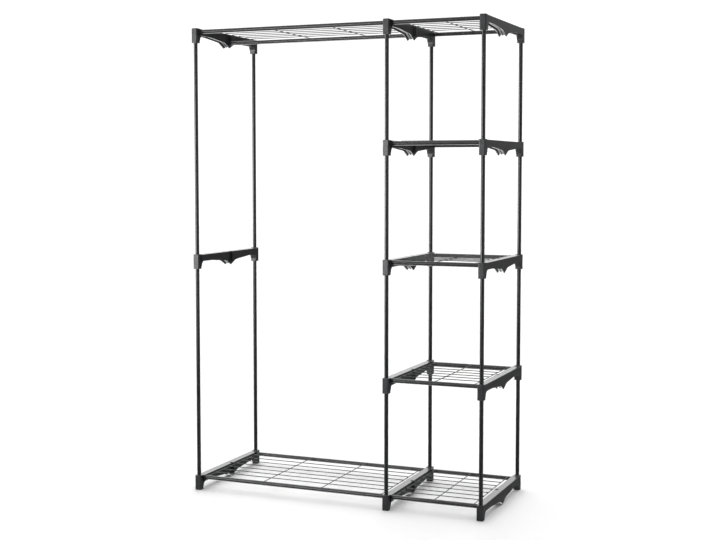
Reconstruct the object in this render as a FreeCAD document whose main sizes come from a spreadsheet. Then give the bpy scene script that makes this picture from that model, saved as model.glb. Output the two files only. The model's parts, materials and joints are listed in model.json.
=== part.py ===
import FreeCAD, Part
import math
import os
import re

import Sketcher
from FreeCAD import Vector

# Open frame wardrobe: steel tubes pushed into moulded end brackets, with welded wire decks.
# +Z is up, the front faces -Y, and the origin is on the floor under the middle of the frame.

doc = FreeCAD.newDocument("open_frame_wardrobe")
sheet = doc.addObject("Spreadsheet::Sheet", "sizes")

# Driving dimensions in millimetres, counts and shares.
SIZES = {
    # The frame, between post axes, and from one bracket level to the next.
    "wide_bay": 760,
    "tower_bay": 350,
    "frame_depth": 462,
    "level_pitch": 418,
    # Round tubes, all of one wall thickness.
    "post_diameter": 14.5,
    "rail_diameter": 15.5,
    "rod_diameter": 14,
    "tube_wall": 0.8,
    # Post sockets at the two ends of a bracket, and the play of tubes that are pushed in.
    "push_fit": 0.15,
    "socket_wall": 4.6,
    "outer_wall": 4.1,
    "shelf_side_wall": 5.1,
    "socket_corner": 4,
    "socket_stop": 5,
    "socket_rise": 1.8,
    "crown_share": 0.9,
    "edge_round": 1,
    # The bar between the sockets, its height over the lower end and its lap into each socket.
    "bar_thickness": 28,
    "bar_height": 24.7,
    "leg_height": 28.5,
    "bar_lap": 4.5,
    # The curved gusset under each end of the bar.
    "gusset_round": 17,
    "gusset_lip": 1,
    # The scalloped underside, level from each post axis inwards, and its pendant.
    "level_run": 81,
    "slope_round": 300,
    "shoulder_half_width": 38,
    "shoulder_drop": 9,
    "shoulder_round": 65,
    "tip_height": 1.5,
    # The hollow under the bar, between its two side plates and along its middle rib.
    "plate_wall": 3.2,
    "rib_wall": 3,
    "hollow": 6,
    "rib_step": 3.5,
    "hollow_margin": 4.5,
    # Rail seats: the walls over them, to the post bore and to the seat in the other face.
    "rail_cover": 1.55,
    "bore_gap": 2.2,
    "rail_stop": 3.4,
    # Upright rod slots, the pendant left under each, and the raised rim round it.
    "slot_floor": 11.7,
    "slot_depth": 10,
    "back_slot_depth": 7,
    "rod_play": 0.3,
    "rod_end_play": 0.5,
    "rim_wall": 2.5,
    "rim_height": 3,
    # Welded wire decks.
    "wire_diameter": 3,
    "weld_sink": 0.4,
    "weld_gap": 0.05,
    "deck_end_gap": 12,
    "wire_overhang": 2,
    "deck_wires": 7,
    "tower_cross_wires": 3,
    "wide_cross_wires": 4,
    # How far a cutting shape runs past the face that it opens.
    "overrun": 2,
}
for row, (alias, size) in enumerate(SIZES.items(), start=1):
    sheet.set(f"A{row}", alias)
    sheet.set(f"B{row}", str(size))
    sheet.setAlias(f"B{row}", alias)
doc.recompute()

# Sums of sizes. Heights are over the lower end of a bracket, and X runs from the post axes to the shelf side.
BAR_TOP = "(leg_height + bar_height)"
SOCKET_TOP = f"({BAR_TOP} + socket_rise)"
LOWER_SEAT = f"({SOCKET_TOP} - socket_stop) / 2"
UPPER_SEAT = f"({SOCKET_TOP} + socket_stop) / 2"
POST_BORE = "(post_diameter / 2 + push_fit)"
RAIL_BORE = "(rail_diameter / 2 + push_fit)"
SLOT_RADIUS = "(rod_diameter / 2 + rod_play)"
OUTER_FACE = f"(-{POST_BORE} - outer_wall)"
SHELF_FACE = f"({OUTER_FACE} + bar_thickness)"
SOCKET_FACE = f"({POST_BORE} + shelf_side_wall)"
RAIL_SEAT = "(bar_thickness - rail_stop) / 2"
RAIL_HEIGHT = f"({BAR_TOP} - rail_cover - {RAIL_BORE})"
ROD_HEIGHT = f"(tip_height + slot_floor + {SLOT_RADIUS})"
POST_Y = "frame_depth / 2"
SOCKET_NEAR = f"({POST_Y} - {POST_BORE} - socket_wall)"
SOCKET_FAR = f"({POST_Y} + {POST_BORE} + socket_wall)"
GUSSET_END = f"({SOCKET_NEAR} - gusset_round - gusset_lip)"
HOLLOW_END = f"({GUSSET_END} - hollow_margin)"
RAIL_Y = f"({POST_Y} - {POST_BORE} - bore_gap - {RAIL_BORE})"
COLUMNS = {
    "left": "-(wide_bay + tower_bay) / 2",
    "centre": "(wide_bay - tower_bay) / 2",
    "right": "(wide_bay + tower_bay) / 2",
}
LEVELS = ("bottom", "level_1", "level_2", "level_3", "top")
BOTTOM, TOP = 0, len(LEVELS) - 1
LEFT_LEVELS = (BOTTOM, TOP // 2, TOP)
FRONT_BACK = (("front", "-"), ("back", ""))

# Tells two places apart.
NEAR = 1e-4

pieces = []


def formula(text):
    """Turn a sum of size names into an expression on the sheet."""
    return re.sub(r"[a-z]\w*", r"sizes.\g<0>", text)


def number(text):
    """Work out a sum of size names."""
    return float(sheet.evalExpression(text))


def place(piece, x="0", y="0", z="0"):
    """Bind a piece's place to the sheet."""
    for axis, text in (("x", x), ("y", y), ("z", z)):
        piece.setExpression(f"Placement.Base.{axis}", formula(text))


def new_body(label):
    """Start a solid under its own name."""
    body = doc.addObject("PartDesign::Body", label)
    body.Label = label
    return body


def origin_plane(body, role):
    """Find one of a body's own origin planes."""
    return next(plane for plane in body.Origin.OriginFeatures if plane.Role == role)


def new_sketch(body, name, role):
    """Start a sketch on one of a body's own origin planes."""
    sketch = body.newObject("Sketcher::SketchObject", name)
    sketch.AttachmentSupport = (origin_plane(body, role), [""])
    sketch.MapMode = "FlatFace"
    return sketch


def pin(sketch, geometry, position, across, up):
    """Hold a point of a sketch at a place given as two sums of sizes."""
    for kind, text, axis in (("DistanceX", across, -2), ("DistanceY", up, -1)):
        if text == "0":
            sketch.addConstraint(Sketcher.Constraint("PointOnObject", geometry, position, axis))
            continue
        rule = Sketcher.Constraint(kind, -1, 1, geometry, position, number(text))
        index = sketch.addConstraint(rule)
        sketch.setExpression(f"Constraints[{index}]", formula(text))


def hold_radius(sketch, geometry, text):
    """Bind the radius of a circle or arc."""
    index = sketch.addConstraint(Sketcher.Constraint("Radius", geometry, number(text)))
    sketch.setExpression(f"Constraints[{index}]", formula(text))


def draw_circle(sketch, across, up, radius):
    """Draw a circle whose place and radius are sums of sizes."""
    middle = Vector(number(across), number(up), 0)
    circle = sketch.addGeometry(Part.Circle(middle, Vector(0, 0, 1), number(radius)))
    pin(sketch, circle, 3, across, up)
    hold_radius(sketch, circle, radius)


def arc_between(start, end, middle, radius):
    """Make the counter-clockwise arc from one point to another about a middle."""
    first = math.atan2(start.y - middle.y, start.x - middle.x)
    last = math.atan2(end.y - middle.y, end.x - middle.x)
    if last < first:
        last += 2 * math.pi
    return Part.ArcOfCircle(Part.Circle(middle, Vector(0, 0, 1), radius), first, last)


def draw_outline(sketch, corners):
    """Draw a closed outline through corners (across, up, rounding), where a rounding may be None."""
    points = [Vector(number(across), number(up), 0) for across, up, rounding in corners]
    count = len(points)
    meets = []
    for index, (across, up, rounding) in enumerate(corners):
        here = points[index]
        back = (points[index - 1] - here).normalize()
        onward = (points[(index + 1) % count] - here).normalize()
        if rounding is None:
            meets.append((here, here, None, False))
            continue
        radius = number(rounding)
        half_turn = back.getAngle(onward) / 2
        reach = radius / math.tan(half_turn)
        middle = here + (back + onward).normalize() * (radius / math.sin(half_turn))
        arrive = here + back * reach
        leave = here + onward * reach
        turns_left = back.cross(onward).z < 0
        start, end = (arrive, leave) if turns_left else (leave, arrive)
        arc = arc_between(start, end, middle, radius)
        meets.append((arrive, leave, arc, turns_left))
    lines = []
    for index in range(count):
        start = meets[index][1]
        end = meets[(index + 1) % count][0]
        lines.append(sketch.addGeometry(Part.LineSegment(start, end)))
    for index, (across, up, rounding) in enumerate(corners):
        arriving, leaving = lines[index - 1], lines[index]
        if rounding is None:
            sketch.addConstraint(Sketcher.Constraint("Coincident", arriving, 2, leaving, 1))
            pin(sketch, leaving, 1, across, up)
            continue
        arc = sketch.addGeometry(meets[index][2])
        first, last = (1, 2) if meets[index][3] else (2, 1)
        sketch.addConstraint(Sketcher.Constraint("Tangent", arriving, 2, arc, first))
        sketch.addConstraint(Sketcher.Constraint("Tangent", arc, last, leaving, 1))
        hold_radius(sketch, arc, rounding)
        corner = sketch.addGeometry(Part.Point(points[index]), True)
        pin(sketch, corner, 1, across, up)
        sketch.addConstraint(Sketcher.Constraint("PointOnObject", corner, 1, arriving))
        sketch.addConstraint(Sketcher.Constraint("PointOnObject", corner, 1, leaving))


def draw_half_strip(sketch, half_width, middle_up, top_up):
    """Draw the right half of an upright strip with a half-round lower end, centred across."""
    radius = number(half_width)
    low, high = number(middle_up), number(top_up)
    axis = sketch.addGeometry(Part.LineSegment(Vector(0, high, 0), Vector(0, low - radius, 0)))
    bend = Part.Circle(Vector(0, low, 0), Vector(0, 0, 1), radius)
    foot = sketch.addGeometry(Part.ArcOfCircle(bend, -math.pi / 2, 0))
    side = sketch.addGeometry(Part.LineSegment(Vector(radius, low, 0), Vector(radius, high, 0)))
    top = sketch.addGeometry(Part.LineSegment(Vector(radius, high, 0), Vector(0, high, 0)))
    for rule in (
        ("Coincident", axis, 2, foot, 1),
        ("Tangent", foot, 2, side, 1),
        ("Coincident", side, 2, top, 1),
        ("Coincident", top, 2, axis, 1),
        ("PointOnObject", foot, 1, -2),
        ("Vertical", side),
        ("Horizontal", top),
    ):
        sketch.addConstraint(Sketcher.Constraint(*rule))
    hold_radius(sketch, foot, half_width)
    pin(sketch, foot, 3, "0", middle_up)
    pin(sketch, axis, 1, "0", top_up)


def pad(body, name, sketch, low, high):
    """Fill a sketch's outline between two places along the sketch's normal."""
    sketch.setExpression("AttachmentOffset.Base.z", formula(low))
    feature = body.newObject("PartDesign::Pad", name)
    feature.Profile = sketch
    feature.setExpression("Length", formula(f"({high}) - ({low})"))
    return feature


def pocket(body, name, sketch, low, high):
    """Cut a sketch's outline away between two places along the sketch's normal."""
    sketch.setExpression("AttachmentOffset.Base.z", formula(high))
    feature = body.newObject("PartDesign::Pocket", name)
    feature.Profile = sketch
    feature.setExpression("Length", formula(f"({high}) - ({low})"))
    return feature


def underside(lift):
    """Corners of half the bar's scalloped underside, pendant first, raised by a lift."""
    return [
        ("0", f"tip_height + {lift}", None),
        ("shoulder_half_width", f"leg_height - shoulder_drop + {lift}", "shoulder_round"),
        (f"{POST_Y} - level_run", f"leg_height + {lift}", "slope_round"),
    ]


def round_edges(body, name, keep, radius):
    """Round the edges of a body that a test picks out."""
    base = body.Tip
    doc.recompute([base])
    edges = [f"Edge{index}" for index, edge in enumerate(base.Shape.Edges, start=1) if keep(edge)]
    feature = body.newObject("PartDesign::Fillet", name)
    feature.Base = (base, edges)
    feature.setExpression("Radius", formula(radius))


def lies_at(edge, height):
    """Tell whether an edge lies level at a height given as a sum of sizes."""
    return all(math.isclose(point.z, number(height), abs_tol=NEAR) for point in edge.discretize(3))


def runs_along_bar(edge):
    """Tell whether an edge runs front to back along the bar's top."""
    return lies_at(edge, BAR_TOP) and edge.BoundBox.YLength > NEAR


def make_bracket(label, post_sides, rail_faces, slot_faces):
    """Model one kind of end bracket: sockets, bar, gussets, hollow underside, rail seats and rod slots.

    The shelf side points along +X. The back half is modelled, and mirrored to the front.
    """
    body = new_body(label)

    # The bar, from the middle of the bracket to its lap into the socket.
    bar = new_sketch(body, "bar_outline", "YZ_Plane")
    bar_end = f"{SOCKET_NEAR} + bar_lap"
    bar_corners = [(bar_end, "leg_height", None), (bar_end, BAR_TOP, None), ("0", BAR_TOP, None)]
    draw_outline(bar, underside("0") + bar_corners)
    pad(body, "bar", bar, OUTER_FACE, SHELF_FACE)
    round_edges(body, "bar_edges", runs_along_bar, "edge_round")

    # The socket that stands at the end of the bar, with a fuller crown where no post goes on.
    socket = new_sketch(body, "socket_outline", "XY_Plane")
    socket_corners = [
        (OUTER_FACE, SOCKET_NEAR, "socket_corner"),
        (SOCKET_FACE, SOCKET_NEAR, "socket_corner"),
        (SOCKET_FACE, SOCKET_FAR, "socket_corner"),
        (OUTER_FACE, SOCKET_FAR, "socket_corner"),
    ]
    draw_outline(socket, socket_corners)
    pad(body, "socket", socket, "0", SOCKET_TOP)
    top_round = "edge_round" if "above" in post_sides else "socket_rise * crown_share"
    round_edges(body, "socket_top", lambda edge: lies_at(edge, SOCKET_TOP), top_round)
    round_edges(body, "socket_foot", lambda edge: lies_at(edge, "0"), "edge_round")

    # The curved gusset between the socket and the bar's underside.
    gusset = new_sketch(body, "gusset_outline", "YZ_Plane")
    gusset_low = "leg_height - gusset_round - gusset_lip"
    gusset_high = "leg_height + bar_height / 2"
    gusset_corners = [
        (GUSSET_END, "leg_height", None),
        (SOCKET_NEAR, "leg_height", "gusset_round"),
        (SOCKET_NEAR, gusset_low, None),
        (f"{SOCKET_NEAR} + bar_lap", gusset_low, None),
        (f"{SOCKET_NEAR} + bar_lap", gusset_high, None),
        (GUSSET_END, gusset_high, None),
    ]
    draw_outline(gusset, gusset_corners)
    pad(body, "gusset", gusset, OUTER_FACE, SOCKET_FACE)

    # The hollow under the bar, with a low rib left along its middle.
    hollow = new_sketch(body, "hollow_outline", "YZ_Plane")
    hollow_corners = [
        (HOLLOW_END, "leg_height + hollow", None),
        (HOLLOW_END, "-overrun", None),
        ("0", "-overrun", None),
    ]
    draw_outline(hollow, underside("hollow") + hollow_corners)
    pocket(body, "hollow", hollow, f"{OUTER_FACE} + plate_wall", f"{SHELF_FACE} - plate_wall")
    rib = new_sketch(body, "rib_outline", "YZ_Plane")
    rib_top = "leg_height + bar_height / 2"
    rib_corners = [(HOLLOW_END, "leg_height + rib_step", None), (HOLLOW_END, rib_top, None), ("0", rib_top, None)]
    draw_outline(rib, underside("rib_step") + rib_corners)
    rib_middle = f"({OUTER_FACE} + {SHELF_FACE}) / 2"
    pad(body, "rib", rib, f"{rib_middle} - rib_wall / 2", f"{rib_middle} + rib_wall / 2")

    # Bores for the posts that come from below and from above, with a stop between them.
    for side, low, high in (("below", "0", LOWER_SEAT), ("above", UPPER_SEAT, SOCKET_TOP)):
        if side in post_sides:
            bore = new_sketch(body, f"bore_{side}_circle", "XY_Plane")
            draw_circle(bore, "0", POST_Y, POST_BORE)
            pocket(body, f"bore_{side}", bore, low, high)

    # Seats for the shelf rails, in the faces that carry a shelf.
    for face, low, high in (
        ("shelf", f"{SHELF_FACE} - {RAIL_SEAT}", SHELF_FACE),
        ("outer", OUTER_FACE, f"{OUTER_FACE} + {RAIL_SEAT}"),
    ):
        if face in rail_faces:
            seat = new_sketch(body, f"{face}_rail_circle", "YZ_Plane")
            draw_circle(seat, RAIL_Y, RAIL_HEIGHT, RAIL_BORE)
            pocket(body, f"{face}_rail_seat", seat, low, high)

    # Rod slots, open at the top, each with a raised rim.
    for face, base, depth, way in (
        ("shelf", SHELF_FACE, "slot_depth", 1),
        ("outer", OUTER_FACE, "back_slot_depth", -1),
    ):
        if face not in slot_faces:
            continue
        rim_ends = (f"{base} - {way} * {depth} / 2", f"{base} + {way} * rim_height")
        slot_ends = (f"{base} - {way} * {depth}", f"{base} + {way} * (rim_height + overrun)")
        rim = new_sketch(body, f"{face}_rim_outline", "YZ_Plane")
        draw_half_strip(rim, f"{SLOT_RADIUS} + rim_wall", ROD_HEIGHT, BAR_TOP)
        pad(body, f"{face}_rim", rim, *rim_ends[::way])
        slot = new_sketch(body, f"{face}_slot_outline", "YZ_Plane")
        draw_half_strip(slot, SLOT_RADIUS, ROD_HEIGHT, f"{BAR_TOP} + overrun")
        pocket(body, f"{face}_slot", slot, *slot_ends[::way])

    # The other half.
    doc.recompute([body.Tip])
    mirrored = body.newObject("PartDesign::Mirrored", "front_half")
    mirrored.TransformMode = "Whole shape"
    mirrored.MirrorPlane = (origin_plane(body, "XZ_Plane"), [""])
    body.Tip = mirrored
    return body


def put_in(label, kind, column, level, turned=False):
    """Put one piece of a kind into the frame, turned half round where its shelf side faces left."""
    piece = new_body(label)
    piece.BaseFeature = kind
    if turned:
        piece.Placement.Rotation = FreeCAD.Rotation(Vector(0, 0, 1), 180)
    place(piece, COLUMNS[column], "0", f"level_pitch * {level}")
    pieces.append(piece)


def make_tube(label, role, diameter, length, x, y, z):
    """Model one round tube that starts at a place and runs along the normal of an origin plane."""
    body = new_body(label)
    ring = new_sketch(body, "ring", role)
    draw_circle(ring, "0", "0", f"{diameter} / 2")
    draw_circle(ring, "0", "0", f"{diameter} / 2 - tube_wall")
    pad(body, "wall", ring, "0", length)
    place(body, x, y, z)
    pieces.append(body)


def make_post(label, column, sign, low_level, high_level):
    """Model one post, which stands on the stop of one socket and ends under that of the next."""
    length = f"level_pitch * {high_level - low_level} - socket_stop"
    foot = f"level_pitch * {low_level} + {UPPER_SEAT}"
    make_tube(label, "XY_Plane", "post_diameter", length, COLUMNS[column], sign + POST_Y, foot)


def make_round_bar(name, start, axis, radius, length):
    """Make one solid round bar from a place along X or Y."""
    bar = doc.addObject("Part::Cylinder", name)
    bar.setExpression("Radius", formula(radius))
    bar.setExpression("Height", formula(length))
    quarter_turn = Vector(0, 1, 0) if axis == "X" else Vector(-1, 0, 0)
    bar.Placement.Rotation = FreeCAD.Rotation(quarter_turn, 90)
    place(bar, *start)
    return bar


def make_deck(label, bay_width, cross_count):
    """Model one kind of wire deck: long wires welded across cross wires, whose ends meet the two rails.

    It starts at the bracket face on its left and lies over the lower end of the brackets.
    """
    first = "(deck_end_gap + wire_diameter / 2)"
    last = f"({bay_width} - {first})"
    cross_z = f"({RAIL_HEIGHT} + rail_diameter / 2 - wire_diameter / 2)"
    long_z = f"({cross_z} + wire_diameter - weld_sink)"
    wires = []
    long_length = f"{last} - {first} + 2 * wire_overhang"
    for index in range(1, SIZES["deck_wires"] + 1):
        y = f"-{RAIL_Y} + 2 * {RAIL_Y} * {index} / (deck_wires + 1)"
        start = (f"{first} - wire_overhang", y, long_z)
        wires.append(make_round_bar("long_wire", start, "X", "wire_diameter / 2", long_length))
    rail_spaces = doc.addObject("Part::Compound", "rail_spaces")
    space_radius = "rail_diameter / 2 + weld_gap"
    rail_spaces.Links = [
        make_round_bar("rail_space", ("0", sign + RAIL_Y, RAIL_HEIGHT), "X", space_radius, bay_width)
        for side, sign in FRONT_BACK
    ]
    for index in range(SIZES[cross_count]):
        x = f"{first} + ({last} - {first}) * {index} / ({cross_count} - 1)"
        start = (x, f"-{RAIL_Y}", cross_z)
        cross_wire = doc.addObject("Part::Cut", "cross_wire")
        cross_wire.Base = make_round_bar("cross_bar", start, "Y", "wire_diameter / 2", f"2 * {RAIL_Y}")
        cross_wire.Tool = rail_spaces
        wires.append(cross_wire)
    deck = doc.addObject("Part::MultiFuse", label)
    deck.Shapes = wires
    deck.Label = label
    return deck


def make_shelf(name, column, left_face, bay_width, level, deck_kind):
    """Put in one shelf to the right of a column: its two rails and its wire deck."""
    left = f"{COLUMNS[column]} + {left_face}"
    height = f"level_pitch * {level} + {RAIL_HEIGHT}"
    for side, sign in FRONT_BACK:
        make_tube(
            f"{name}_{side}_rail",
            "YZ_Plane",
            "rail_diameter",
            f"{bay_width} + 2 * {RAIL_SEAT}",
            f"{left} - {RAIL_SEAT}",
            sign + RAIL_Y,
            height,
        )
    deck = new_body(f"{name}_wire_deck")
    deck.BaseFeature = deck_kind
    place(deck, left, "0", f"level_pitch * {level}")
    pieces.append(deck)


# Kinds of end bracket, which differ in their post bores, rail seats and rod slots.
BOTH = ("below", "above")
bottom_end = make_bracket("bottom_end", ("above",), ("shelf",), ("shelf",))
bottom_middle = make_bracket("bottom_middle", ("above",), ("shelf", "outer"), ("shelf",))
plain_side = make_bracket("plain_side", BOTH, (), ("shelf",))
shelf_side = make_bracket("shelf_side", BOTH, ("shelf",), ("shelf",))
top_end = make_bracket("top_end", ("below",), ("shelf",), ("shelf",))
top_middle = make_bracket("top_middle", ("below",), ("shelf", "outer"), ("shelf", "outer"))
doc.recompute()

# End brackets in the three columns. In the right column the shelf side faces left.
for level, kind in zip(LEFT_LEVELS, (bottom_end, plain_side, top_end)):
    put_in(f"left_{LEVELS[level]}_bracket", kind, "left", level)
for level, name in enumerate(LEVELS):
    centre_kind = {BOTTOM: bottom_middle, TOP: top_middle}.get(level, shelf_side)
    right_kind = {BOTTOM: bottom_end, TOP: top_end}.get(level, shelf_side)
    put_in(f"centre_{name}_bracket", centre_kind, "centre", level)
    put_in(f"right_{name}_bracket", right_kind, "right", level, turned=True)

# Posts: long ones in the left column, short ones in the centre and right columns.
for side, sign in FRONT_BACK:
    for name, low_level, high_level in zip(("lower", "upper"), LEFT_LEVELS, LEFT_LEVELS[1:]):
        make_post(f"left_{side}_{name}_post", "left", sign, low_level, high_level)
    for column in ("centre", "right"):
        for level in range(TOP):
            make_post(f"{column}_{side}_post_{level + 1}", column, sign, level, level + 1)

# Shelves: two wide ones in the hanging bay and five narrow ones in the tower.
WIDE_SPAN = f"(wide_bay - {SHELF_FACE} + {OUTER_FACE})"
TOWER_SPAN = f"(tower_bay - 2 * {SHELF_FACE})"
wide_deck = make_deck("wide_deck", WIDE_SPAN, "wide_cross_wires")
tower_deck = make_deck("tower_deck", TOWER_SPAN, "tower_cross_wires")
doc.recompute()
for level, name in enumerate(LEVELS):
    if level in (BOTTOM, TOP):
        make_shelf(f"wide_{name}", "left", SHELF_FACE, WIDE_SPAN, level, wide_deck)
    make_shelf(f"tower_{name}", "centre", SHELF_FACE, TOWER_SPAN, level, tower_deck)

# The hanging rod, which lies in the slots of the left and centre top brackets.
rod_left = f"{COLUMNS['left']} + {SHELF_FACE} - slot_depth + rod_end_play"
rod_right = f"{COLUMNS['centre']} + {OUTER_FACE} + back_slot_depth - rod_end_play"
rod_height = f"level_pitch * {TOP} + {ROD_HEIGHT}"
make_tube("hanging_rod", "YZ_Plane", "rod_diameter", f"{rod_right} - ({rod_left})", rod_left, "0", rod_height)

doc.recompute()
for item in doc.Objects:
    if "Invalid" in item.State or "Error" in item.State:
        raise RuntimeError(f"{item.Label}: {item.State}")
for piece in pieces:
    if piece.Shape.isNull() or not piece.Shape.isValid():
        raise RuntimeError(f"{piece.Label}: no valid shape")
    if len(piece.Shape.Solids) != 1:
        raise RuntimeError(f"{piece.Label}: {len(piece.Shape.Solids)} solids")

os.makedirs("parts", exist_ok=True)
for piece in pieces:
    piece.Shape.exportStep(f"parts/{piece.Label}.step")
print(len(pieces), "pieces")
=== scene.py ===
import json
import math

import bpy
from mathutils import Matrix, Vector

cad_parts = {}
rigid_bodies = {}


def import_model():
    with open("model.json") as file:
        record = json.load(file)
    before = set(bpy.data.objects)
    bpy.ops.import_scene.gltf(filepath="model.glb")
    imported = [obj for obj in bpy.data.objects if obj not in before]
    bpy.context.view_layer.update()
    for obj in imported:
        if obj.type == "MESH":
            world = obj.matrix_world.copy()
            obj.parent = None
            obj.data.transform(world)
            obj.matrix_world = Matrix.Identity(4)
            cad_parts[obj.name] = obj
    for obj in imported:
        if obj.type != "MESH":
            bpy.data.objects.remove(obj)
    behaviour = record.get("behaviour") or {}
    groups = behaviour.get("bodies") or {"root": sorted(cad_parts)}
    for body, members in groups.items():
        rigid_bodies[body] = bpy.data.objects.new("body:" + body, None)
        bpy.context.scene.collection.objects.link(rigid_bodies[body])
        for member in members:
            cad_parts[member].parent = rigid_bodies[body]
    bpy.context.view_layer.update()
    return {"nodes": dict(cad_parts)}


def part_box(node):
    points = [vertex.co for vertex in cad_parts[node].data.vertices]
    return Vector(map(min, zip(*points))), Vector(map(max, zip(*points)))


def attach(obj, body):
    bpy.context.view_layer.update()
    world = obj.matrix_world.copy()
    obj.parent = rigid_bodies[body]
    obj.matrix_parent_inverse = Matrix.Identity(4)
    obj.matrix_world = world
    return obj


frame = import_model()

# The end brackets: each is one black ABS moulding that runs front to back, with a post socket at
# each end, rail seats in its sides and an upright slot for a hanging rod. They are pushed onto the
# post ends and hold by friction alone, so no screw or clip shows.


def srgb(hex_colour):
    """Linear red, green, blue and alpha of an sRGB hex colour."""
    channels = [int(hex_colour[start:start + 2], 16) / 255 for start in (1, 3, 5)]
    linear = [c / 12.92 if c <= 0.04045 else ((c + 0.055) / 1.055) ** 2.4 for c in channels]
    return (*linear, 1.0)


def add_node(tree, kind, settings=(), links=()):
    """Add a shader node; settings go on its sockets or its own properties, links feed its sockets."""
    node = tree.nodes.new(kind)
    for name, value in dict(settings).items():
        if name in node.inputs:
            node.inputs[name].default_value = value
        else:
            setattr(node, name, value)
    for name, output in dict(links).items():
        tree.links.new(output, node.inputs[name])
    return node


# Moulded ABS with an eroded mould surface: a dull, slightly uneven charcoal that goes pale only at a
# glancing angle, with a fine grain. The grain is 0.4 mm on such a part and is drawn at 1.6 mm to show.
# Its edges are painted a little lighter than the flats, partly as rubbing wear and partly as a painted
# edge highlight.
resin = bpy.data.materials.new("abs_moulded_matt_grain")
resin.use_nodes = True
tree = resin.node_tree
shader = tree.nodes["Principled BSDF"]
shader.inputs["IOR"].default_value = 1.54
place = add_node(tree, "ShaderNodeTexCoord").outputs["Object"]
grain_size = 0.0016
grain = add_node(
    tree, "ShaderNodeTexNoise", {"Scale": 1 / grain_size, "Detail": 3, "Roughness": 0.6}, {"Vector": place}
)
flow_size = 0.030
flow = add_node(tree, "ShaderNodeTexNoise", {"Scale": 1 / flow_size, "Detail": 4}, {"Vector": place})
body_colour = add_node(tree, "ShaderNodeValToRGB", {}, {"Fac": flow.outputs["Fac"]})
body_colour.color_ramp.elements[0].position = 0.35
body_colour.color_ramp.elements[0].color = srgb("#0f1012")
body_colour.color_ramp.elements[1].position = 0.70
body_colour.color_ramp.elements[1].color = srgb("#222326")
# Every edge, handled or not, is painted a lighter grey in patches: partly rubbing wear, partly a painted
# edge highlight.
corner_width = 0.0015
corner = add_node(tree, "ShaderNodeBevel", {"Radius": corner_width, "samples": 6})
facing = add_node(tree, "ShaderNodeNewGeometry")
turn = add_node(
    tree,
    "ShaderNodeVectorMath",
    {"operation": "DOT_PRODUCT"},
    {0: corner.outputs["Normal"], 1: facing.outputs["Normal"]},
)
edge_wear_and_highlight = add_node(
    tree,
    "ShaderNodeMapRange",
    {"From Min": 0.98, "From Max": 0.80, "To Min": 0.0, "To Max": 0.8},
    {"Value": turn.outputs["Value"]},
)
patchy_edge_wear_and_highlight = add_node(
    tree,
    "ShaderNodeMath",
    {"operation": "MULTIPLY"},
    {0: edge_wear_and_highlight.outputs["Result"], 1: flow.outputs["Fac"]},
)
# A node that mixes colours takes them at its sockets 6 and 7, and gives the mix at its output 2.
under_socket, over_socket, mix_output = 6, 7, 2
# The lighter edge colour mixed in here is partly wear and partly a painted highlight along the edges.
worn_and_highlit_colour = add_node(
    tree,
    "ShaderNodeMix",
    {"data_type": "RGBA"},
    {"Factor": patchy_edge_wear_and_highlight.outputs["Value"], under_socket: body_colour.outputs["Color"]},
)
worn_and_highlit_colour.inputs[over_socket].default_value = srgb("#55575b")
dullness = add_node(
    tree,
    "ShaderNodeMapRange",
    {"From Min": 0.3, "From Max": 0.7, "To Min": 0.28, "To Max": 0.40},
    {"Value": grain.outputs["Fac"]},
)
relief = add_node(
    tree, "ShaderNodeBump", {"Strength": 0.30, "Distance": 0.0002}, {"Height": grain.outputs["Fac"]}
)
tree.links.new(worn_and_highlit_colour.outputs[mix_output], shader.inputs["Base Color"])
tree.links.new(dullness.outputs["Result"], shader.inputs["Roughness"])
tree.links.new(relief.outputs["Normal"], shader.inputs["Normal"])
for name, node in frame["nodes"].items():
    if name.endswith("_bracket"):
        node.material_slots[0].material = resin

# The posts: round welded steel tubes, cut square, powder coated black and pushed into the sockets.
# The left column has two long ones at the front and the back, the others a short one for each level.


def powder_coat(name, stretch):
    """Black semi-gloss powder coat on tube; stretch gives the way that its handling marks run.

    Powder flows out as it bakes and sets with a soft orange peel, about 3 mm from swell to swell, drawn
    at 5 mm to show. Sliding the tubes into the brackets leaves faint dull marks along them.
    """
    coat = bpy.data.materials.new(name)
    coat.use_nodes = True
    tree = coat.node_tree
    shader = tree.nodes["Principled BSDF"]
    shader.inputs["IOR"].default_value = 1.52
    shader.inputs["Specular IOR Level"].default_value = 0.5
    place = add_node(tree, "ShaderNodeTexCoord").outputs["Object"]
    swell_size = 0.005
    swell = add_node(
        tree, "ShaderNodeTexNoise", {"Scale": 1 / swell_size, "Detail": 2}, {"Vector": place}
    )
    drawn_out = add_node(tree, "ShaderNodeMapping", {"Scale": stretch}, {"Vector": place})
    mark_width = 0.004
    marks = add_node(
        tree,
        "ShaderNodeTexNoise",
        {"Scale": 1 / mark_width, "Detail": 5, "Roughness": 0.65},
        {"Vector": drawn_out.outputs["Vector"]},
    )
    colour = add_node(tree, "ShaderNodeValToRGB", {}, {"Fac": marks.outputs["Fac"]})
    colour.color_ramp.elements[0].position = 0.40
    colour.color_ramp.elements[0].color = srgb("#0a0a0b")
    colour.color_ramp.elements[1].position = 0.80
    colour.color_ramp.elements[1].color = srgb("#17181a")
    gloss = add_node(
        tree,
        "ShaderNodeMapRange",
        {"From Min": 0.35, "From Max": 0.75, "To Min": 0.24, "To Max": 0.34},
        {"Value": marks.outputs["Fac"]},
    )
    peel = add_node(
        tree, "ShaderNodeBump", {"Strength": 0.03, "Distance": 0.0002}, {"Height": swell.outputs["Fac"]}
    )
    tree.links.new(colour.outputs["Color"], shader.inputs["Base Color"])
    tree.links.new(gloss.outputs["Result"], shader.inputs["Roughness"])
    tree.links.new(peel.outputs["Normal"], shader.inputs["Normal"])
    return coat


post_coat = powder_coat("steel_tube_black_powder_coat_upright", stretch=(1.0, 1.0, 0.06))
for name, node in frame["nodes"].items():
    if "_post" in name:
        node.material_slots[0].material = post_coat

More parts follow.
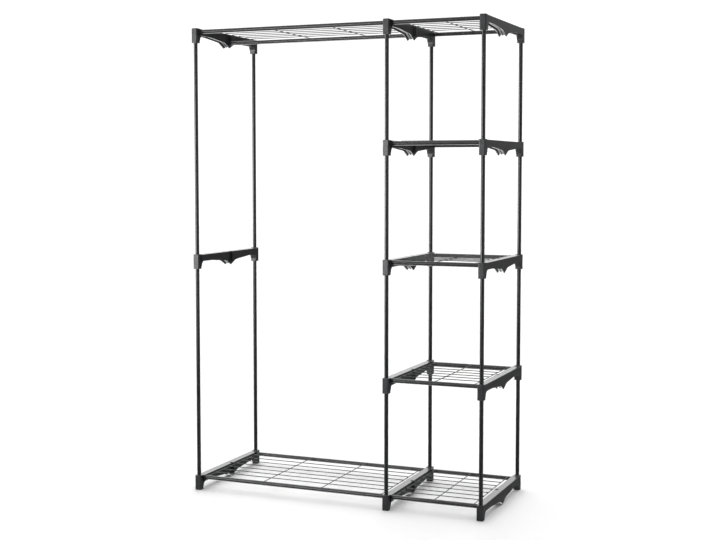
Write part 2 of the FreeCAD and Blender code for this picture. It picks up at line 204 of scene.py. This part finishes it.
# The rails: the same coated tube laid left to right, a front one and a back one to each shelf. Their
# ends are pushed into blind seats in the sides of the brackets.
rail_coat = powder_coat("steel_tube_black_powder_coat_level", stretch=(0.06, 1.0, 1.0))
for name, node in frame["nodes"].items():
    if name.endswith("_rail"):
        node.material_slots[0].material = rail_coat

# The wire decks: straight drawn steel wires 3 mm thick, resistance welded at every crossing, their
# cross wires welded to the rails. The mat is dipped in black enamel after welding.

# Dipped enamel is uneven in thickness, which changes its shade and gloss slowly, over some 12 mm. Small
# nibs of dust stand about 1.5 mm apart in it and break up its highlights.
enamel = bpy.data.materials.new("steel_wire_black_dipped_enamel")
enamel.use_nodes = True
tree = enamel.node_tree
shader = tree.nodes["Principled BSDF"]
shader.inputs["IOR"].default_value = 1.50
shader.inputs["Specular IOR Level"].default_value = 0.4
place = add_node(tree, "ShaderNodeTexCoord").outputs["Object"]
film_size = 0.012
film = add_node(tree, "ShaderNodeTexNoise", {"Scale": 1 / film_size, "Detail": 3}, {"Vector": place})
nib_size = 0.0015
nibs = add_node(tree, "ShaderNodeTexNoise", {"Scale": 1 / nib_size, "Detail": 1}, {"Vector": place})
film_colour = add_node(tree, "ShaderNodeValToRGB", {}, {"Fac": film.outputs["Fac"]})
film_colour.color_ramp.elements[0].position = 0.35
film_colour.color_ramp.elements[0].color = srgb("#111214")
film_colour.color_ramp.elements[1].position = 0.75
film_colour.color_ramp.elements[1].color = srgb("#232427")
film_gloss = add_node(
    tree,
    "ShaderNodeMapRange",
    {"From Min": 0.3, "From Max": 0.7, "To Min": 0.32, "To Max": 0.44},
    {"Value": film.outputs["Fac"]},
)
film_relief = add_node(
    tree, "ShaderNodeBump", {"Strength": 0.2, "Distance": 0.0001}, {"Height": nibs.outputs["Fac"]}
)
tree.links.new(film_colour.outputs["Color"], shader.inputs["Base Color"])
tree.links.new(film_gloss.outputs["Result"], shader.inputs["Roughness"])
tree.links.new(film_relief.outputs["Normal"], shader.inputs["Normal"])
for name, node in frame["nodes"].items():
    if name.endswith("_wire_deck"):
        node.material_slots[0].material = enamel

# The welds of the decks: a collar of squeezed-out steel where two wires cross, and a bead that flares
# where a cross wire meets the rail. They are part of the mat and are enamelled with it.
wire_diameter = 0.003
wire_overhang = 0.002
rail_diameter = 0.0155
rail_line = 0.2135
long_wires = 7
wire_step = 2 * rail_line / (long_wires + 1)
weld_sides = 12


def spread(piece, count, step):
    """Repeat a piece along a step into one mesh."""
    row = piece.modifiers.new("row", "ARRAY")
    row.count = count
    row.use_relative_offset = False
    row.use_constant_offset = True
    row.constant_offset_displace = step
    bpy.ops.object.modifier_apply(modifier="row")


def make_welds(deck, cross_wires):
    """Model the welds of one deck and join them into one piece, placed where the deck lies."""
    low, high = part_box(deck)
    first = low.x + wire_overhang
    cross_step = (high.x - low.x - 2 * wire_overhang) / (cross_wires - 1)

    # A collar: a short stub between the wires, its ends domed and its side drawn out into a thin lip.
    collar_radius = 0.0017
    collar_height = 0.0016
    collar_sink = 0.0002
    dome_inset = 0.0005
    dome_rise = 0.0003
    lip_growth = (1.42, 1.42, 0.30)
    bpy.ops.object.select_all(action="DESELECT")
    middle = (first, wire_step - rail_line, low.z + wire_diameter - collar_sink)
    bpy.ops.mesh.primitive_cylinder_add(
        vertices=weld_sides, radius=collar_radius, depth=collar_height, location=middle
    )
    collar = bpy.context.object
    bpy.ops.object.mode_set(mode="EDIT")
    bpy.ops.mesh.select_mode(type="FACE")
    bpy.ops.mesh.select_all(action="DESELECT")
    bpy.ops.mesh.select_face_by_sides(number=weld_sides)
    bpy.ops.mesh.inset(thickness=dome_inset, depth=dome_rise)
    # The side is all that is left beside the two ends and the rings round them.
    bpy.ops.mesh.select_all(action="DESELECT")
    bpy.ops.mesh.select_face_by_sides(number=weld_sides)
    bpy.ops.mesh.select_more()
    bpy.ops.mesh.select_all(action="INVERT")
    bpy.ops.mesh.extrude_region_move()
    bpy.ops.transform.resize(value=lip_growth, center_override=middle)
    bpy.ops.object.mode_set(mode="OBJECT")
    spread(collar, cross_wires, (cross_step, 0.0, 0.0))
    spread(collar, long_wires, (0.0, wire_step, 0.0))
    bpy.ops.object.transform_apply(location=True, rotation=True, scale=True)

    # A bead: a small disc on top of the rail, swelled to a rounded nugget and then narrowed along the
    # cross wire until it meets it. Each step is a length along the wire and a change of width.
    bead_radius = 0.0010
    bead_lap = 0.0024
    swelling = ((0.0003, 1.70), (0.0006, 1.30), (0.0009, 1.16))
    narrowing = ((0.0008, 0.93), (0.0010, 0.84), (0.0012, 0.86), (0.0014, 0.86))
    bpy.ops.object.select_all(action="DESELECT")
    wire_rise = (rail_diameter - wire_diameter) / 2
    meets_rail = math.sqrt((rail_diameter / 2) ** 2 - wire_rise ** 2) - rail_line
    foot = (first, meets_rail - bead_lap, low.z + wire_diameter / 2)
    on_edge = (math.radians(90), 0.0, 0.0)
    bpy.ops.mesh.primitive_circle_add(
        vertices=weld_sides, radius=bead_radius, fill_type="NGON", location=foot, rotation=on_edge
    )
    bead = bpy.context.object
    bpy.ops.object.mode_set(mode="EDIT")
    bpy.ops.mesh.select_all(action="SELECT")
    for run, share in swelling + narrowing:
        bpy.ops.mesh.extrude_region_move(TRANSFORM_OT_translate={"value": (0.0, run, 0.0)})
        bpy.ops.transform.resize(value=(share, 1.0, share), center_override=foot)
    bpy.ops.mesh.select_all(action="SELECT")
    bpy.ops.mesh.normals_make_consistent(inside=False)
    bpy.ops.object.mode_set(mode="OBJECT")
    bpy.ops.object.transform_apply(location=True, rotation=True, scale=True)
    spread(bead, cross_wires, (cross_step, 0.0, 0.0))
    other_rail = bead.modifiers.new("back_rail", "MIRROR")
    other_rail.use_axis = (False, True, False)
    other_rail.use_mirror_merge = False
    bpy.ops.object.modifier_apply(modifier="back_rail")

    # Collars and beads are one piece, with normals turned outwards again after the mirror.
    crease_angle = math.radians(50)
    collar.select_set(True)
    bpy.context.view_layer.objects.active = collar
    bpy.ops.object.join()
    bpy.ops.object.mode_set(mode="EDIT")
    bpy.ops.mesh.select_all(action="SELECT")
    bpy.ops.mesh.normals_make_consistent(inside=False)
    bpy.ops.object.mode_set(mode="OBJECT")
    bpy.ops.object.shade_smooth_by_angle(angle=crease_angle)
    collar.name = deck.replace("_wire_deck", "_welds")
    collar.data.materials.append(enamel)
    return collar


def put_welds(welds, level_deck, from_deck):
    """Copy a finished set of welds, with its own mesh, to the same places on another deck."""
    bpy.ops.object.select_all(action="DESELECT")
    welds.select_set(True)
    bpy.context.view_layer.objects.active = welds
    bpy.ops.object.duplicate(linked=False)
    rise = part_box(level_deck)[0].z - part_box(from_deck)[0].z
    bpy.ops.transform.translate(value=(0.0, 0.0, rise))
    bpy.ops.object.transform_apply(location=True, rotation=True, scale=True)
    bpy.context.object.name = level_deck.replace("_wire_deck", "_welds")
    return bpy.context.object


weld_pieces = []
for bay, levels, cross_wires in (
    ("wide", ("bottom", "top"), 4),
    ("tower", ("bottom", "level_1", "level_2", "level_3", "top"), 3),
):
    lowest_deck = f"{bay}_{levels[0]}_wire_deck"
    lowest_welds = make_welds(lowest_deck, cross_wires)
    weld_pieces.append(lowest_welds)
    for level in levels[1:]:
        weld_pieces.append(put_welds(lowest_welds, f"{bay}_{level}_wire_deck", lowest_deck))
for welds in weld_pieces:
    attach(welds, "frame")

# The hanging rod: one more length of coated tube, dropped into the open slots of the left and centre
# top brackets, where it is free to roll. Use wears faint dull rings into its gloss.
rod_coat = powder_coat("steel_rod_black_powder_coat_ring_worn", stretch=(1.0, 0.05, 0.05))
frame["nodes"]["hanging_rod"].material_slots[0].material = rod_coat

# The floor: a wide pale sheet of paper that the wardrobe stands on. It reaches the wall all round, and
# lies a hair below the feet, so that their undersides don't share its plane.
floor_width = 60.0
floor_gap = 0.0005
bpy.ops.object.select_all(action="DESELECT")
bpy.ops.mesh.primitive_plane_add(size=floor_width, location=(0.0, 0.0, -floor_gap))
floor = bpy.context.object
floor.name = "floor"
paper = bpy.data.materials.new("matt_white_paper")
paper.use_nodes = True
paper_shader = paper.node_tree.nodes["Principled BSDF"]
paper_shader.inputs["Base Color"].default_value = srgb("#fbfbfb")
paper_shader.inputs["Roughness"].default_value = 0.9
paper_shader.inputs["Specular IOR Level"].default_value = 0.0
floor.data.materials.append(paper)
floor.visible_glossy = False

# The backdrop: a white studio wall that closes in all round and overhead, with no corner or seam. It is
# washed with its own even light and lights nothing else.
wall_radius = 25.0
bpy.ops.object.select_all(action="DESELECT")
bpy.ops.mesh.primitive_uv_sphere_add(segments=64, ring_count=32, radius=wall_radius)
backdrop = bpy.context.object
backdrop.name = "backdrop"
bpy.ops.object.shade_smooth()
wall_paint = bpy.data.materials.new("matt_white_wall_paint")
wall_paint.use_nodes = True
wall_shader = wall_paint.node_tree.nodes["Principled BSDF"]
wall_shader.inputs["Base Color"].default_value = srgb("#aaaaaa")
wall_shader.inputs["Roughness"].default_value = 0.9
wall_shader.inputs["Specular IOR Level"].default_value = 0.0
wall_shader.inputs["Emission Color"].default_value = srgb("#ffffff")
wall_shader.inputs["Emission Strength"].default_value = 0.85
backdrop.data.materials.append(wall_paint)
backdrop.visible_diffuse = False
backdrop.visible_glossy = False
backdrop.visible_shadow = False

# The light: a white studio whose wall is brightest behind on the left and glows a little on the right. A
# lamp low on the wall shines up under the brackets, the floor glows faintly, and a broad soft light hangs
# overhead.
world = bpy.data.worlds.new("white_studio")
world.use_nodes = True
bpy.context.scene.world = world
tree = world.node_tree
walls = tree.nodes["Background"]
walls.inputs["Color"].default_value = srgb("#ffffff")
towards = add_node(tree, "ShaderNodeTexCoord").outputs["Generated"]


def add_glow(direction, edge, core, dim, bright):
    """Light from round one direction: bright inside its core, dim outside its edge, both as cosines."""
    nearness = add_node(tree, "ShaderNodeVectorMath", {"operation": "DOT_PRODUCT"}, {0: towards})
    nearness.inputs[1].default_value = direction
    glow = add_node(
        tree,
        "ShaderNodeMapRange",
        {"From Min": edge, "From Max": core, "To Min": dim, "To Max": bright},
        {"Value": nearness.outputs["Value"]},
    )
    return glow.outputs["Result"]


upper_wall = add_glow((-0.45, 0.75, 0.48), edge=0.65, core=1.0, dim=0.17, bright=2.6)
low_wall = add_glow((-0.40, 0.74, -0.54), edge=0.88, core=0.96, dim=0.0, bright=3.5)
right_wall = add_glow((0.98, -0.12, 0.15), edge=0.75, core=0.95, dim=0.0, bright=0.8)
floor_glow = add_glow((0.0, 0.0, -1.0), edge=0.25, core=0.80, dim=0.0, bright=0.7)
all_light = upper_wall
for glow in (low_wall, right_wall, floor_glow):
    both = add_node(tree, "ShaderNodeMath", {"operation": "ADD"}, {0: all_light, 1: glow})
    all_light = both.outputs["Value"]
tree.links.new(all_light, walls.inputs["Strength"])

bpy.ops.object.select_all(action="DESELECT")
bpy.ops.object.light_add(type="SUN", location=(0.0, 0.0, 4.0))
overhead = bpy.context.object
overhead.name = "overhead_soft_light"
overhead.data.angle = math.radians(80)
overhead.data.energy = 1.83

# The soft boxes: three broad studio lamps, on the left, front left and high in front. They light the
# wardrobe alone, so that the floor stays an even white.
lit = bpy.data.collections.new("lit_by_soft_boxes")
for piece in list(frame["nodes"].values()) + weld_pieces:
    lit.objects.link(piece)


def add_soft_box(name, place, aim, width, height, radiance):
    """Hang one soft box at a place, turned to face another, as bright as radiance all over."""
    bpy.ops.object.select_all(action="DESELECT")
    bpy.ops.object.light_add(type="AREA", location=place)
    box = bpy.context.object
    box.name = name
    box.rotation_euler = (Vector(aim) - Vector(place)).to_track_quat("-Z", "Y").to_euler()
    box.data.shape = "RECTANGLE"
    box.data.size = width
    box.data.size_y = height
    box.data.energy = radiance * width * height * math.pi
    box.visible_camera = False
    box.light_linking.receiver_collection = lit


add_soft_box(
    "left_soft_box", (-3.29, -2.06, 1.25), (-0.49, 0.34, 1.25), width=2.7, height=1.7, radiance=8.5
)
add_soft_box("near_soft_box", (-2.1, -4.6, 1.1), (0.0, 0.0, 1.1), width=1.2, height=1.4, radiance=15.0)
add_soft_box("front_soft_box", (-0.6, -3.8, 3.3), (0.0, 0.0, 0.6), width=4.0, height=0.5, radiance=4.0)

# The camera: at chest height in front of the tower, turned to the left and tipped down a little. A small
# fall of the frame, as with a shift lens, keeps the posts from leaning more.
image_width = 716
image_height = 540
focal_pixels = 1258.4
axis_row = 255.0
camera_place = (1.820, -4.325, 1.198)
upright = math.radians(90)
tip_down = math.radians(3.78)
turn_left = math.radians(22.83)
bpy.ops.object.camera_add(location=camera_place, rotation=(upright - tip_down, 0.0, turn_left))
camera = bpy.context.object
camera.name = "photograph_camera"
camera.data.sensor_fit = "HORIZONTAL"
camera.data.sensor_width = 36.0
camera.data.lens = focal_pixels / image_width * camera.data.sensor_width
camera.data.shift_y = (axis_row - image_height / 2) / image_width
camera.data.clip_end = 200.0
bpy.context.scene.camera = camera
bpy.context.scene.view_settings.view_transform = "Standard"
